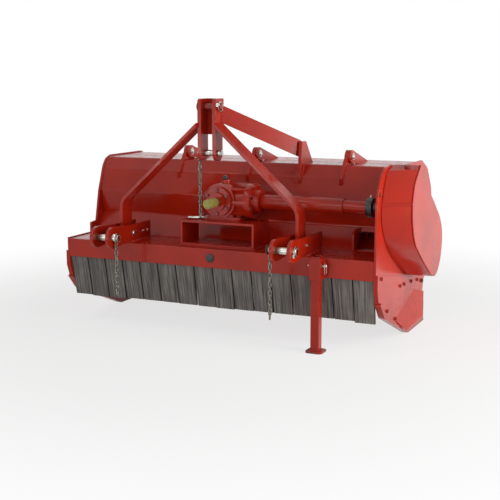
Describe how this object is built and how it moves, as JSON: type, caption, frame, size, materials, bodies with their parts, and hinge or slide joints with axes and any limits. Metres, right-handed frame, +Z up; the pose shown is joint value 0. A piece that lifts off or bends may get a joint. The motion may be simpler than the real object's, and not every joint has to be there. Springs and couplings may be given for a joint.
{
  "type": "tractor mulcher",
  "caption": "Mounted tractor mulcher with a folded hood, hammer rotor, side belt drive, rubber front flaps, three-point headstock, skids and a parking stand.",
  "frame": {"origin": "on the ground, under the middle of the machine's box", "axes": "+X along the rotor towards the belt drive, -Y towards the tractor, +Z up"},
  "size_m": [1.584, 1, 1.003],
  "materials": {
    "red_paint": "gloss enamel",
    "flap_rubber": "matt, chalky",
    "pin_steel": "bright zinc",
    "chain_steel": "dull zinc",
    "dark_iron": "as forged",
    "cap_plastic": "moulded"
  },
  "bodies": {
    "frame": {"left_side_plate": "red_paint", "right_side_plate": "red_paint", "front_beam": "red_paint", "hood": "red_paint", "beam_gusset": "red_paint", "flap_rail": "red_paint", "belt_housing": "red_paint", "belt_cover": "red_paint", "left_skid": "red_paint", "right_skid": "red_paint", "gearbox_stool": "red_paint", "gearbox": "red_paint", "cross_tube": "red_paint", "mast": "red_paint", "lower_clevis_left": "red_paint", "lower_clevis_right": "red_paint", "frame_bar_left": "red_paint", "frame_bar_right": "red_paint", "hood_ears": "red_paint", "brace_lug": "red_paint", "mast_brace": "red_paint", "left_bearing": "red_paint", "stand_sleeve": "red_paint", "front_flaps": "flap_rubber", "lower_pin_left": "pin_steel", "lower_pin_right": "pin_steel", "top_hitch_pin": "pin_steel", "mast_low_pin": "pin_steel", "hinge_pins": "pin_steel", "chain_mast": "chain_steel", "chain_left": "chain_steel", "chain_right": "chain_steel", "cross_collar": "dark_iron"},
    "rotor": {"rotor": "red_paint", "hammers": "dark_iron"},
    "pto": {"pto_shaft": "pin_steel", "pto_cap": "cap_plastic"},
    "bonnet": {"rear_bonnet": "red_paint"},
    "stand": {"stand_leg": "red_paint"}
  },
  "joints": [
    {"name": "rotor_spin", "type": "hinge", "parent": "frame", "child": "rotor", "pos_m": [0, 0.15, 0.325], "axis": [1, 0, 0], "continuous": true},
    {"name": "pto_spin", "type": "hinge", "parent": "frame", "child": "pto", "pos_m": [-0.055, -0.339, 0.57], "axis": [0, 1, 0], "continuous": true},
    {"name": "bonnet_hinge", "type": "hinge", "parent": "frame", "child": "bonnet", "pos_m": [0, 0.04, 0.756], "axis": [1, 0, 0], "range_deg": [0, 85]},
    {"name": "stand_slide", "type": "slide", "parent": "frame", "child": "stand", "axis": [0, 0, 1], "range_m": [0, 0.24]}
  ],
  "couplings": [
    {"joint": "pto_spin", "follows": "rotor_spin", "ratio": 0.27}
  ]
}
